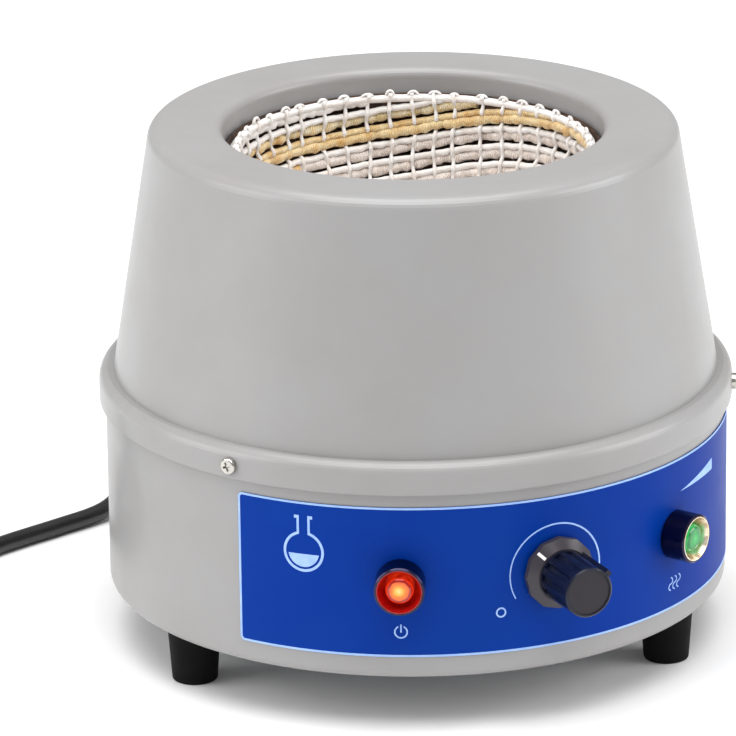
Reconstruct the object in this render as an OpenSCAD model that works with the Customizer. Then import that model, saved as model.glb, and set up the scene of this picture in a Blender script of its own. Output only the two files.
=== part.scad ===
// Laboratory heating mantle for a one litre round bottom flask.
// Units: mm. +Z is up, the front panel faces -Y, z = 0 is the table under the feet.

/* [Body] */
// Outside diameter of the base (mm)
base_d = 240; // [200:5:300]
// Height from the base's bottom edge to the top face (mm)
body_h = 181; // [160:1:220]
// Thickness of the pressed sheet of the base (mm)
base_wall = 1.6; // [1:0.1:2.5]
// Height of the feet (mm)
foot_h = 22; // [14:1:32]
// Diameter of a foot where it meets the base (mm)
foot_d = 20.5; // [14:0.5:28]

/* [Top housing] */
// Diameter of the opening for the flask (mm)
opening_d = 146; // [110:1:160]
// Diameter of the cone at its top (mm)
cone_top_d = 202; // [180:1:230]
// Thickness of the spun sheet (mm)
top_wall = 1.8; // [1:0.1:2.5]
// Radius of the fillet round the top (mm)
top_fillet = 5; // [2:0.5:10]
// Height of the straight band that laps over the base (mm)
band_h = 8; // [6:0.5:14]

/* [Control panel] */
// Angle that the label covers (degrees)
label_angle = 118; // [100:1:150]
// Height of the label (mm)
label_h = 59; // [50:1:64]
// Angle between the knob and each lamp (degrees)
lamp_angle = 28.5; // [20:0.5:40]
// Diameter of a lamp's bezel (mm)
lamp_d = 18.8; // [14:0.2:24]
// How far a lamp stands out (mm)
lamp_l = 10; // [6:0.5:14]

/* [Knob] */
// Diameter of the knob's skirt (mm)
knob_d = 28; // [24:0.5:36]
// Length of the knob (mm)
knob_l = 25.6; // [18:0.2:34]
// Diameter of the control's shaft (mm)
shaft_d = 6; // [4:0.05:8]
// Radial clearance of the shaft in its bushing (mm)
shaft_fit = 0.05; // [0.02:0.01:0.1]

/* [Heating bowl] */
// Inside radius of the knitted nest (mm)
nest_r = 68.5; // [50:0.5:70]
// Thickness of the knitted nest (mm)
nest_t = 3.5; // [2:0.5:4]
// Thickness of the insulation (mm)
wool_t = 10.6; // [6:0.2:14]

/* [Mains lead] */
// Diameter of the lead (mm)
cord_d = 7; // [6:0.1:9]
// Diameter of the coil at the middle of its turns (mm)
coil_d = 72; // [64:1:84]

/* [Hidden] */

$fn = 96;
eps = 0.01;

// Body
base_r = base_d / 2;
base_z = foot_h;
top_z = base_z + body_h;
joint_z = base_z + 73;
band_top_z = joint_z + band_h;
base_top_z = band_top_z + 0.5;
skirt_gap = 0.4;
skirt_t = 2;
skirt_r = base_r + skirt_gap + skirt_t;
shoulder_r = 4.5;
base_edge_r = 3;
flange_in_r = base_r - 30;
floor_z = base_z + base_wall;
plate_t = 1.6;
plate_z = floor_z + plate_t;
plate_r = base_r - 8;

// Cone of the top housing, as its radius at the shoulder and at the top face
cone_z = band_top_z + shoulder_r - 0.4;
cone_r = base_r - 3.4;
cone_top_r = cone_top_d / 2;
cone_slope = (cone_r - cone_top_r) / (top_z - cone_z);
cone_tilt = atan(cone_slope);
function cone_at(z) = cone_r - cone_slope * (z - cone_z);

// Opening
opening_r = opening_d / 2;
lip_r = 3.5;
collar_z = top_z - 13;

// Feet and fixings
foot_r = foot_d / 2;
foot_low_r = foot_r - 1.5;
foot_ring_r = base_r - 15;
foot_angles = [-80, 40, 160];
foot_seat_z = foot_h - 9;
case_screw_angles = [-60, 60, 180];
case_screw_z = joint_z + 5.4;
plate_screw_angles = [-20, 100, 220];
plate_screw_r = base_r - 16;

// Panel
panel_z = base_z + 38.5;
label_t = 0.4;
label_r = base_r + label_t;
label_z = base_z + 38.5 - label_h / 2;
label_corner = 2.2;
ink_t = 0.12;
pot_hole_r = 5;
lamp_neck_r = 5.9;

// Heating bowl: spheres about one centre
bowl_z = top_z - 17;
nest_out_r = nest_r + nest_t;
nest_top_z = top_z - 9;
element_r = nest_out_r + 2;
wire_r = 1;
inner_bowl_r = nest_out_r + 4;
sheet_t = 1;
wool_r = inner_bowl_r + sheet_t + 0.3;
shield_r = wool_r + wool_t + 0.3;
shield_t = 1.2;
bowl_flange_r = shield_r + 9.8;
bushing_r = 5;
bracket_angles = [-15, 105, 225];
bracket_r = shield_r + shield_t + 2.6;
bracket_t = 1.5;
bracket_w = 14;

// Knob and control, as distances from the axis of the body
knob_back = label_r + 1;
knob_front = knob_back + knob_l;
skirt_edge = knob_back + 2;
skirt_top = knob_back + 5;
knob_r = knob_d / 2;
barrel_r = knob_r - 4.2;
cap_r = barrel_r - 1.3;
cap_deep = 1.6;
flutes = 12;
pointer_angle = 135;
rib_angle = 38;
shaft_r = shaft_d / 2;
pot_front = base_r - 12;
pot_back = pot_front - 11;
pot_r = 12.2;

// Lamps
lamp_r = lamp_d / 2;
lamp_front = label_r + lamp_l;
lens_r = 5.3;

// Electronics on the bottom plate
board_t = 1.6;
board_z = plate_z + 6;
board_top_z = board_z + board_t;
board_x = [-52, 38];
board_y = [-55, 5];
pole_x = [4, 9.5, 15, 20.5, 26];
pole_y = 4;
pole_z = board_top_z + 4.5;

// Mains lead: exit in the base's back wall, then down to the table and to the coil
cord_r = cord_d / 2;
cord_exit_z = base_z + 14;
relief_l = knob_front - base_r;
cord_sides = 12;
coil_pos = [-168, 164, 1];
coil_r = coil_d / 2;
coil_half_w = 1.5 * cord_d;
coil_h = 2 * cord_d;
plug_pos = [coil_pos[0] - coil_r - cord_r, 200, 18.5];
cord_route = [
    [0, 101, cord_exit_z],
    [0, 132, cord_exit_z],
    [0, 146.5, cord_exit_z],
    [-3.6, 158.8, cord_exit_z - 1.2],
    [-11.3, 169, 31.2],
    [-22.8, 175.3, 25.6],
    [-36.5, 175.6, 17.8],
    [-49.8, 169, 10.2],
    [-60, 162, 6],
    [-71, 156.5, 4],
    [-90.5, 150.5, 3.6],
    [-119, 141.5, 3.6],
    [-135, 133.5, 3.6],
    [-146.5, 123, 3.6],
    [-157.5, 116.5, 3.6],
    [-170.5, 114.5, 4],
    [-187.5, 118, 4.5],
    [-205.5, 130, 4.5],
    [-215.5, 147, 4.5],
    [-218.5, 165, 4.5],
    [-214, 181, 4.5],
    [-203, 194, 4.5],
    [-189, 201, 4.5]
];
tail_route = [
    [plug_pos[0], 166, 11.3],
    [plug_pos[0], 174, 11.5],
    [plug_pos[0], 184, 13.6],
    [plug_pos[0], 194, 17],
    [plug_pos[0], 204, 18.5],
    [plug_pos[0], 214, 18.5]
];

// ---------- helpers ----------

// Points of an arc about [cx, cy], from angle a0 to a1.
function arc(cx, cy, r, a0, a1, n = 6) =
    [for (i = [0:n]) let (a = a0 + (a1 - a0) * i / n) [cx + r * cos(a), cy + r * sin(a)]];

// Places children at an angle from the panel's centre: x to the right, y up, z outwards.
module radial(a, z) {
    rotate([0, 0, a])
        translate([0, 0, z])
            rotate([90, 0, 0])
                children();
}

// Point at a distance from the axis, at an angle from the panel's centre.
function around(r, a, z) = [r * sin(a), -r * cos(a), z];

// Turned piece from its outline, drawn as [radius, height].
module turned(outline) {
    rotate_extrude()
        polygon(outline);
}

// Flat tube.
module ring(r_out, r_in, h) {
    difference() {
        cylinder(r = r_out, h = h);
        translate([0, 0, -1])
            cylinder(r = r_in, h = h + 2);
    }
}

// Hexagon nut with a plain hole.
module nut(flats, hole_r, h) {
    difference() {
        cylinder(r = flats / 2 / cos(30), h = h, $fn = 6);
        translate([0, 0, -1])
            cylinder(r = hole_r, h = h + 2);
    }
}

// Pan head screw along z: the head's seat is at 0 and the shank goes down.
module pan_screw(r, head_r, head_h, l) {
    difference() {
        union() {
            translate([0, 0, -l])
                cylinder(r = r, h = l + eps);
            turned(concat(
                [[0, 0], [head_r, 0]],
                arc(head_r - 0.9, head_h - 0.9, 0.9, 0, 90, 4),
                [[0, head_h]]));
        }
        for (a = [0, 90])
            rotate([0, 0, a])
                translate([-head_r * 0.55, -0.45, head_h - 1.1])
                    cube([head_r * 1.1, 0.9, 2]);
    }
}

// Point of a smooth curve through p1 and p2.
function blend_point(p0, p1, p2, p3, t) =
    0.5 * (2 * p1 + (p2 - p0) * t + (2 * p0 - 5 * p1 + 4 * p2 - p3) * t * t
    + (3 * p1 - p0 - 3 * p2 + p3) * t * t * t);

// A route's points with steps between them.
function smooth(p, steps) = concat(
    [for (i = [0:len(p) - 2], k = [0:steps - 1])
        blend_point(p[max(i - 1, 0)], p[i], p[i + 1], p[min(i + 2, len(p) - 1)], k / steps)],
    [p[len(p) - 1]]);

function unit(v) = v / norm(v);
function heading(p, i) = unit(p[min(i + 1, len(p) - 1)] - p[max(i - 1, 0)]);

// Corners of the tube's ring at point i of a route.
function tube_ring(p, i, r, sides, ref) =
    let (t = heading(p, i), s = unit(cross(t, ref)), u = cross(s, t))
    [for (k = [0:sides - 1]) p[i] + r * (cos(360 * k / sides) * s + sin(360 * k / sides) * u)];

// Round tube along a route.
module tube(p, r, sides = 8, ref = [0.31, 0.17, 1]) {
    n = len(p);
    points = [for (i = [0:n - 1]) each tube_ring(p, i, r, sides, ref)];
    walls = [for (i = [0:n - 2], k = [0:sides - 1])
        let (j = (k + 1) % sides)
        [i * sides + k, i * sides + j, (i + 1) * sides + j, (i + 1) * sides + k]];
    ends = [[for (k = [sides - 1:-1:0]) k], [for (k = [0:sides - 1]) (n - 1) * sides + k]];
    polyhedron(points, concat(walls, ends));
}

// Sheet bent round the base with rounded corners.
module bent_sheet(r0, r1, half_a, z0, z1, corner) {
    difference() {
        rotate([0, 0, -90 - half_a])
            rotate_extrude(angle = 2 * half_a)
                translate([r0, z0])
                    square([r1 - r0, z1 - z0]);
        for (sx = [-1, 1])
            for (z = [z0, z1])
                radial(sx * half_a, z)
                    translate([0, 0, r0 - 2])
                        linear_extrude(r1 - r0 + 4)
                            corner_cut(sx, z == z0 ? -1 : 1, corner);
    }
}

// What is cut from a square corner to round it.
module corner_cut(sx, sy, c) {
    difference() {
        translate([sx > 0 ? -c : -1, sy > 0 ? -c : -1])
            square(c + 1);
        translate([-sx * (c - 0.06), -sy * (c - 0.06)])
            circle(c);
    }
}

// Ink of a flat drawing, laid on the label at an angle and height.
module ink(a, z) {
    intersection() {
        ring_at(label_r + ink_t, label_r, base_z, joint_z);
        radial(a, z)
            translate([0, 0, base_r - 12])
                linear_extrude(24)
                    children();
    }
}

module ring_at(r_out, r_in, z0, z1) {
    translate([0, 0, z0])
        ring(r_out, r_in, z1 - z0);
}

// ---------- base ----------

module base_housing() {
    color([0.70, 0.70, 0.68])
    difference() {
        turned(concat(
            [[flange_in_r, base_z]],
            arc(base_r - base_edge_r, base_z + base_edge_r, base_edge_r, -90, 0),
            [[base_r, base_top_z], [base_r - base_wall, base_top_z]],
            arc(base_r - base_edge_r, base_z + base_edge_r, base_edge_r - base_wall, 0, -90),
            [[flange_in_r, floor_z]]));
        radial(0, panel_z)
            cylinder(r = pot_hole_r, h = base_r + 5);
        for (a = [-lamp_angle, lamp_angle])
            radial(a, panel_z)
                cylinder(r = lamp_neck_r + 0.1, h = base_r + 5);
        radial(180, cord_exit_z)
            cylinder(r = 6, h = base_r + 5);
        for (a = case_screw_angles)
            radial(a, case_screw_z)
                cylinder(r = 1.75, h = base_r + 5);
        for (a = foot_angles)
            translate(around(foot_ring_r, a, base_z - 1))
                cylinder(r = 2, h = 5);
        for (a = plate_screw_angles)
            translate(around(plate_screw_r, a, base_z - 1))
                cylinder(r = 2, h = 5);
    }
}

module bottom_plate() {
    color([0.66, 0.67, 0.68])
    difference() {
        translate([0, 0, floor_z])
            cylinder(r = plate_r, h = plate_t);
        for (a = [0:30:330])
            translate(around(62, a, floor_z - 1))
                cylinder(r = 3.5, h = 5);
        for (a = [15:30:345])
            translate(around(80, a + 15, floor_z - 1))
                cylinder(r = 2.5, h = 5);
        for (a = foot_angles)
            translate(around(foot_ring_r, a, floor_z - 1))
                cylinder(r = 2, h = 5);
        for (a = plate_screw_angles)
            translate(around(plate_screw_r, a, floor_z - 1))
                cylinder(r = 2, h = 5);
        for (a = bracket_angles)
            translate(around(bracket_r - 9, a, floor_z - 1))
                cylinder(r = 2, h = 5);
    }
}

module foot(a) {
    color([0.03, 0.03, 0.035])
    translate(around(foot_ring_r, a, 0))
        difference() {
            turned(concat(
                [[0, 0]],
                arc(foot_low_r - 1, 1, 1, -90, 0, 4),
                [[foot_r, foot_h], [0, foot_h]]));
            translate([0, 0, -1])
                cylinder(r = 5, h = foot_seat_z + 1);
            cylinder(r = 2, h = foot_h + 1);
        }
}

module foot_left() { foot(foot_angles[0]); }
module foot_right() { foot(foot_angles[1]); }
module foot_rear() { foot(foot_angles[2]); }

module foot_screws() {
    color([0.72, 0.72, 0.72])
    for (a = foot_angles)
        translate(around(foot_ring_r, a, foot_seat_z))
            mirror([0, 0, 1])
                pan_screw(2, 4, 2.4, plate_z - foot_seat_z + 4.4);
}

module foot_nuts() {
    color([0.72, 0.72, 0.72])
    for (a = foot_angles)
        translate(around(foot_ring_r, a, plate_z))
            nut(7, 2, 3.2);
}

module plate_screws() {
    color([0.72, 0.72, 0.72])
    for (a = plate_screw_angles)
        translate(around(plate_screw_r, a, base_z))
            mirror([0, 0, 1])
                pan_screw(2, 3.6, 2.2, 7);
}

// ---------- panel ----------

module control_label() {
    color([0.0, 0.23, 0.62])
    difference() {
        bent_sheet(base_r, label_r, label_angle / 2, label_z, label_z + label_h, label_corner);
        radial(0, panel_z)
            cylinder(r = pot_hole_r + 0.4, h = base_r + 5);
        for (a = [-lamp_angle, lamp_angle])
            radial(a, panel_z)
                cylinder(r = lamp_neck_r + 0.4, h = base_r + 5);
    }
}

module label_print() {
    edge = 0.8;
    color([0.80, 0.88, 0.97])
    union() {
        difference() {
            bent_sheet(label_r, label_r + ink_t, label_angle / 2, label_z, label_z + label_h,
                label_corner);
            bent_sheet(label_r - 1, label_r + 1, label_angle / 2 - 0.4,
                label_z + edge, label_z + label_h - edge, label_corner - edge);
        }
        ink(0, panel_z)
            dial_arc();
        ink(-46, panel_z + 10)
            flask_mark();
        ink(-10.6, panel_z - 13.6)
            hoop(2, 1.4);
        ink(-lamp_angle, panel_z - 19.5)
            power_mark();
        ink(lamp_angle, panel_z - 19.5)
            heat_mark();
        ink(37, panel_z + 18)
            ramp_mark();
    }
}

module hoop(r_out, r_in) {
    difference() {
        circle(r_out);
        circle(r_in);
    }
}

// Scale line round the knob, a little wider towards full heat.
module dial_arc() {
    difference() {
        circle(18.9);
        translate([-0.12, -0.06])
            circle(18.35);
        polygon([
            [0, 0], [-40 * cos(28), -40 * sin(28)], [-40, -60],
            [40, -80], [40 * cos(60), -40 * sin(60)]]);
    }
}

// Outline of a round flask, half full.
module flask_mark() {
    difference() {
        union() {
            circle(8);
            translate([-2.6, 0])
                square([5.2, 14]);
            translate([-3.6, 13])
                square([7.2, 1.2]);
        }
        circle(7);
        translate([-1.7, 0])
            square([3.4, 15]);
    }
    difference() {
        circle(6.1);
        translate([-8, -1])
            square([16, 12]);
    }
}

module power_mark() {
    difference() {
        hoop(2.6, 2);
        translate([-1, 0])
            square([2, 4]);
    }
    translate([-0.3, -0.2])
        square([0.6, 3.2]);
}

module heat_mark() {
    for (x = [-2.6, 0, 2.6])
        translate([x, 0]) {
            half_hoop(0, 1.25, 1);
            half_hoop(0, -1.25, -1);
        }
}

// Half of a ring, open to the left or to the right.
module half_hoop(x, y, side) {
    translate([x, y])
        intersection() {
            hoop(1.5, 1);
            translate([side > 0 ? 0 : -3, -3])
                square([3, 6]);
        }
}

module ramp_mark() {
    polygon([[-14, -2], [14, -2], [14, 2.4]]);
}

module case_screws() {
    color([0.82, 0.82, 0.82])
    for (a = case_screw_angles)
        radial(a, case_screw_z)
            translate([0, 0, skirt_r])
                rotate([0, 0, 20])
                    pan_screw(1.75, 3.2, 2.1, 9.5);
}

module case_nuts() {
    color([0.72, 0.72, 0.72])
    for (a = case_screw_angles)
        radial(a, case_screw_z)
            translate([0, 0, base_r - base_wall - 3])
                nut(6, 1.75, 2.9);
}

// ---------- top housing ----------

module top_housing() {
    fillet_z = top_z - top_fillet;
    fillet_x = cone_at(fillet_z) - top_fillet / cos(cone_tilt);
    in_shift = top_wall / cos(cone_tilt);
    foot_x = skirt_r - shoulder_r;
    color([0.70, 0.70, 0.68])
    difference() {
        turned(concat(
            [[base_r + skirt_gap, joint_z]],
            arc(skirt_r - 0.8, joint_z + 0.8, 0.8, -90, 0, 3),
            arc(foot_x, band_top_z, shoulder_r, 0, 75, 6),
            [[cone_r, cone_z]],
            arc(fillet_x, fillet_z, top_fillet, cone_tilt, 90, 6),
            arc(opening_r + lip_r, top_z - lip_r, lip_r, 90, 180, 6),
            [[opening_r, collar_z], [opening_r + top_wall, collar_z]],
            arc(opening_r + lip_r, top_z - lip_r, lip_r - top_wall, 180, 90, 4),
            arc(fillet_x, fillet_z, top_fillet - top_wall, 90, cone_tilt, 4),
            [[cone_r - in_shift, cone_z]],
            arc(foot_x, band_top_z, shoulder_r - skirt_t, 75, 0, 4)));
        for (a = case_screw_angles)
            radial(a, case_screw_z)
                cylinder(r = 1.75, h = base_r + 9);
    }
}

// ---------- heating bowl ----------

// Section of the lower half of a hollow ball, with a straight rim of a height.
module bowl_section(r_out, r_in, rim) {
    intersection() {
        difference() {
            circle(r_out);
            circle(r_in);
        }
        translate([0, -r_out - 1])
            square([r_out + 1, r_out + 1]);
    }
    if (rim > 0)
        translate([r_in, 0])
            square([r_out - r_in, rim]);
}

module heating_nest() {
    color([0.93, 0.90, 0.84])
    translate([0, 0, bowl_z])
        rotate_extrude()
            bowl_section(nest_out_r, nest_r, nest_top_z - bowl_z);
}

module heating_element() {
    turns = 8;
    steps = turns * 24;
    path = [for (i = [0:steps])
        let (tilt = 10 + 70 * i / steps, a = 360 * turns * i / steps)
        [element_r * sin(tilt) * cos(a), element_r * sin(tilt) * sin(a), bowl_z - element_r * cos(tilt)]];
    color([0.80, 0.74, 0.62])
    tube(path, wire_r, 6, [0, 0, 1]);
}

module inner_bowl() {
    color([0.75, 0.76, 0.78])
    difference() {
        translate([0, 0, bowl_z])
            rotate_extrude() {
                bowl_section(inner_bowl_r + sheet_t, inner_bowl_r, 0);
                translate([inner_bowl_r, 0])
                    square([bowl_flange_r - inner_bowl_r, sheet_t]);
            }
        cylinder(r = bushing_r, h = bowl_z);
        bowl_screw_holes();
    }
}

module insulation_wool() {
    color([0.90, 0.88, 0.80])
    difference() {
        translate([0, 0, bowl_z])
            sphere(r = wool_r + wool_t);
        translate([0, 0, bowl_z])
            sphere(r = wool_r);
        translate([0, 0, bowl_z - 0.3])
            cylinder(r = wool_r + wool_t + 5, h = wool_r + wool_t + 5);
        cylinder(r = bushing_r + 0.3, h = bowl_z);
    }
}

module heat_shield() {
    color([0.75, 0.76, 0.78])
    difference() {
        translate([0, 0, bowl_z])
            rotate_extrude() {
                bowl_section(shield_r + shield_t, shield_r, 0);
                translate([shield_r + shield_t / 2, -shield_t])
                    square([bowl_flange_r - shield_r - shield_t / 2, shield_t]);
            }
        cylinder(r = bushing_r, h = bowl_z - shield_r + 5);
        bowl_screw_holes();
    }
}

module bowl_screw_holes() {
    for (a = bracket_angles)
        translate(around(bowl_flange_r - 3, a, bowl_z - 20))
            cylinder(r = 1.5, h = 40);
}

// Bent strip from the bottom plate up to the shield's flange.
module bracket(a) {
    low_in = bracket_r - 18;
    strip_top = bowl_z - shield_t;
    color([0.72, 0.73, 0.74])
    rotate([0, 0, a])
        difference() {
            union() {
                translate([-bracket_w / 2, -bracket_r - bracket_t, plate_z])
                    cube([bracket_w, bracket_t, strip_top - plate_z]);
                translate([-bracket_w / 2, -bracket_r - bracket_t, plate_z])
                    cube([bracket_w, bracket_r + bracket_t - low_in, bracket_t]);
                translate([-bracket_w / 2, -bowl_flange_r, strip_top - bracket_t])
                    cube([bracket_w, bowl_flange_r - bracket_r, bracket_t]);
            }
            translate([0, -bracket_r + 9, plate_z - 1])
                cylinder(r = 2, h = 4);
            translate([0, -bowl_flange_r + 3, strip_top - 5])
                cylinder(r = 1.5, h = 10);
        }
}

module bracket_front() { bracket(bracket_angles[0]); }
module bracket_right() { bracket(bracket_angles[1]); }
module bracket_left() { bracket(bracket_angles[2]); }

module bracket_screws() {
    color([0.72, 0.72, 0.72])
    for (a = bracket_angles)
        translate(around(bracket_r - 9, a, floor_z))
            mirror([0, 0, 1])
                pan_screw(2, 3.6, 2.2, 6);
}

module bowl_screws() {
    color([0.72, 0.72, 0.72])
    for (a = bracket_angles)
        translate(around(bowl_flange_r - 3, a, bowl_z + sheet_t))
            pan_screw(1.5, 2.8, 1.8, 6);
}

// Ceramic sleeve for the heater's two leads.
module lead_bushing() {
    low = bowl_z - shield_r - shield_t;
    color([0.93, 0.91, 0.86])
    difference() {
        union() {
            translate([0, 0, low])
                cylinder(r = bushing_r, h = shield_r + shield_t - inner_bowl_r + 0.4);
            translate([0, 0, low - 3])
                cylinder(r = bushing_r + 2.5, h = 3.02);
        }
        translate([0, 0, low - 4])
            cylinder(r = 3.2, h = 40);
    }
}

// ---------- knob and control ----------

module control_knob() {
    color([0.10, 0.11, 0.14])
    radial(0, panel_z)
        difference() {
            union() {
                intersection() {
                    turned([
                        [0, knob_back], [knob_r, knob_back], [knob_r, skirt_edge],
                        [barrel_r + 0.6, skirt_top], [barrel_r, skirt_top],
                        [barrel_r - 0.2, knob_front - 0.5], [barrel_r - 0.7, knob_front],
                        [0, knob_front]]);
                    translate([0, 0, knob_back - 1])
                        cylinder(r = knob_r, h = knob_l + 2, $fn = 12);
                }
                rotate([0, 0, rib_angle])
                    translate([barrel_r - 3, -1.2, skirt_top - 1])
                        cube([4.4, 2.4, knob_front - skirt_top + 0.6]);
            }
            for (k = [0:flutes - 1])
                rotate([0, 0, rib_angle + (k + 0.5) * 360 / flutes])
                    translate([barrel_r + 0.3, 0, skirt_top + 1.2])
                        cylinder(r = 1.4, h = knob_front - cap_deep - skirt_top - 1.2);
            translate([0, 0, knob_back - 1])
                cylinder(r = 8.6, h = 4.4);
            translate([0, 0, knob_back])
                cylinder(r = shaft_r, h = knob_l - 4);
            translate([0, 0, knob_front - cap_deep])
                cylinder(r = cap_r, h = cap_deep + 0.4);
            translate([0, 0, skirt_top + 4])
                rotate([90, 0, 0])
                    cylinder(r = 1.5, h = knob_r);
        }
}

module knob_cap() {
    color([0.20, 0.20, 0.23])
    radial(0, panel_z)
        translate([0, 0, knob_front - cap_deep])
            cylinder(r = cap_r, h = cap_deep - 0.4);
}

// White line on the slope of the skirt.
module knob_pointer() {
    fall = skirt_top - skirt_edge;
    run = knob_r - barrel_r - 0.6;
    lean = atan2(fall, run);
    slope_l = norm([fall, run]);
    start = slope_l * (knob_r - knob_r * cos(15)) / run + 0.1;
    color([0.95, 0.93, 0.93])
    radial(0, panel_z)
        rotate([0, 0, pointer_angle])
            translate([knob_r, 0, skirt_edge])
                rotate([0, lean, 0])
                    translate([-slope_l + 0.3, -0.6, 0.01])
                        cube([slope_l - 0.3 - start, 1.2, 0.25]);
}

module knob_grub_screw() {
    color([0.70, 0.70, 0.70])
    radial(0, panel_z)
        translate([0, 0, skirt_top + 4])
            rotate([90, 0, 0])
                translate([0, 0, shaft_r])
                    difference() {
                        cylinder(r = 1.5, h = barrel_r - shaft_r - 1.6);
                        translate([-2, -0.25, barrel_r - shaft_r - 2.4])
                            cube([4, 0.5, 2]);
                    }
}

module pot_shaft() {
    color([0.78, 0.78, 0.78])
    radial(0, panel_z)
        translate([0, 0, pot_back + 2.4])
            cylinder(r = shaft_r, h = knob_back + knob_l - 4 - pot_back - 2.4);
}

module pot_wiper() {
    color([0.80, 0.66, 0.35])
    radial(0, panel_z)
        translate([0, 0, pot_back + 4])
            difference() {
                union() {
                    cylinder(r = 4.4, h = 2.4);
                    translate([-1.5, 0, 0])
                        cube([3, 9.4, 1]);
                }
                translate([0, 0, -1])
                    cylinder(r = shaft_r, h = 5);
            }
}

module pot_body() {
    color([0.45, 0.46, 0.48])
    radial(0, panel_z)
        difference() {
            union() {
                translate([0, 0, pot_back])
                    cylinder(r = pot_r, h = pot_front - pot_back);
                translate([0, 0, pot_front - eps])
                    cylinder(r = pot_hole_r - 0.1, h = knob_back + 1.8 - pot_front);
                translate([-8, -pot_r - 5, pot_back + 3])
                    cube([16, 8, 1]);
            }
            translate([0, 0, pot_back + 1.6])
                cylinder(r = pot_r - 1.4, h = pot_front - pot_back - 4);
            translate([0, 0, pot_back + 3])
                cylinder(r = shaft_r + shaft_fit, h = 60);
        }
}

module pot_nut() {
    color([0.78, 0.78, 0.78])
    radial(0, panel_z)
        translate([0, 0, label_r])
            nut(13, pot_hole_r - 0.1, 2.4);
}

// ---------- lamps ----------

module lamp_bezel(a) {
    color([0.07, 0.08, 0.14])
    radial(a, panel_z)
        turned([
            [4.6, base_r - 12],
            [lamp_neck_r, base_r - 12],
            [lamp_neck_r, label_r],
            [lamp_r, label_r],
            [lamp_r, lamp_front - 0.5],
            [lamp_r - 0.5, lamp_front],
            [lamp_r - 0.9, lamp_front],
            [lens_r + 0.3, label_r + 2],
            [lens_r, label_r + 2],
            [lens_r, label_r + 1],
            [4.6, label_r + 1]]);
}

module lamp_reflector(a, tone) {
    color(tone)
    radial(a, panel_z)
        turned([
            [lens_r + 0.3, label_r + 2],
            [lamp_r - 0.9, lamp_front],
            [lamp_r - 1.25, lamp_front],
            [lens_r + 0.05, label_r + 2.15]]);
}

module lamp_lens(a, tone) {
    tip = lamp_front - 0.8;
    color(tone)
    radial(a, panel_z)
        turned(concat(
            [[3.4, label_r + 1], [lens_r, label_r + 1]],
            arc(lens_r - 2, tip - 2, 2, 0, 90, 5),
            [[0, tip], [0, tip - 1.4], [3.4, tip - 2.4]]));
}

module lamp_bulb(a, tone) {
    color(tone)
    radial(a, panel_z)
        turned(concat(
            [[0, base_r - 11], [4.6, base_r - 11], [4.6, base_r - 3], [2.3, base_r - 3]],
            arc(0, label_r + 3, 2.3, 0, 90, 5)));
}

module power_lamp_bezel() { lamp_bezel(-lamp_angle); }
module power_lamp_reflector() { lamp_reflector(-lamp_angle, [0.72, 0.05, 0.04]); }
module power_lamp_lens() { lamp_lens(-lamp_angle, [0.95, 0.35, 0.10]); }
module power_lamp_bulb() { lamp_bulb(-lamp_angle, [1.0, 0.75, 0.35]); }
module heat_lamp_bezel() { lamp_bezel(lamp_angle); }
module heat_lamp_reflector() { lamp_reflector(lamp_angle, [0.90, 0.86, 0.74]); }
module heat_lamp_lens() { lamp_lens(lamp_angle, [0.10, 0.65, 0.28]); }
module heat_lamp_bulb() { lamp_bulb(lamp_angle, [0.55, 0.95, 0.60]); }

module lamp_nuts() {
    color([0.10, 0.10, 0.11])
    for (a = [-lamp_angle, lamp_angle])
        radial(a, panel_z)
            translate([0, 0, base_r - 5.4])
                nut(14, lamp_neck_r, 3.3);
}

// ---------- electronics ----------

standoff_xy = [for (x = [board_x[0] + 5, board_x[1] - 5], y = [board_y[0] + 5, board_y[1] - 5]) [x, y]];

module control_board() {
    color([0.10, 0.36, 0.18])
    difference() {
        translate([board_x[0], board_y[0], board_z])
            cube([board_x[1] - board_x[0], board_y[1] - board_y[0], board_t]);
        for (p = standoff_xy)
            translate([p[0], p[1], board_z - 1])
                cylinder(r = 1.6, h = board_t + 2);
    }
}

module board_standoffs() {
    color([0.85, 0.85, 0.82])
    for (p = standoff_xy)
        translate([p[0], p[1], plate_z]) {
            cylinder(r = 3, h = board_z - plate_z);
            cylinder(r = 1.6, h = board_z - plate_z + board_t + 1.5);
        }
}

module heatsink() {
    color([0.30, 0.31, 0.33])
    difference() {
        translate([-44, -8, board_top_z])
            cube([30, 12, 27]);
        for (x = [-42:4:-18])
            translate([x, -5, board_top_z - 1])
                cube([2, 10, 30]);
    }
}

module triac() {
    color([0.08, 0.08, 0.09])
    union() {
        translate([-34, -12.5, board_top_z + 4])
            cube([10, 4.5, 9]);
        translate([-34, -9.3, board_top_z + 13 - eps])
            cube([10, 1.3, 6.5]);
        for (x = [-32, -29, -26])
            translate([x - 0.4, -10.4, board_top_z])
                cube([0.8, 0.6, 4 + eps]);
    }
}

module capacitor() {
    color([0.85, 0.72, 0.20])
    translate([-10, -22, board_top_z])
        cube([26, 10, 17]);
}

module choke() {
    color([0.72, 0.38, 0.16])
    translate([16, -40, board_top_z + 4.5])
        rotate_extrude()
            translate([9, 0])
                circle(4.5, $fn = 48);
}

module fuse() {
    color([0.80, 0.86, 0.88])
    translate([-44, -42, board_top_z + 4.5])
        rotate([0, 90, 0])
            union() {
                cylinder(r = 2.3, h = 20);
                cylinder(r = 2.6, h = 5);
                translate([0, 0, 15])
                    cylinder(r = 2.6, h = 5);
            }
}

module fuse_clips() {
    color([0.82, 0.80, 0.70])
    for (x = [-43.5, -28.5])
        difference() {
            translate([x, -45.4, board_top_z])
                cube([4, 6.8, 6.5]);
            translate([x - 1, -42, board_top_z + 4.5])
                rotate([0, 90, 0])
                    cylinder(r = 2.6, h = 8);
            translate([x - 1, -44, board_top_z + 4.5])
                cube([6, 4, 4]);
        }
}

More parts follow.
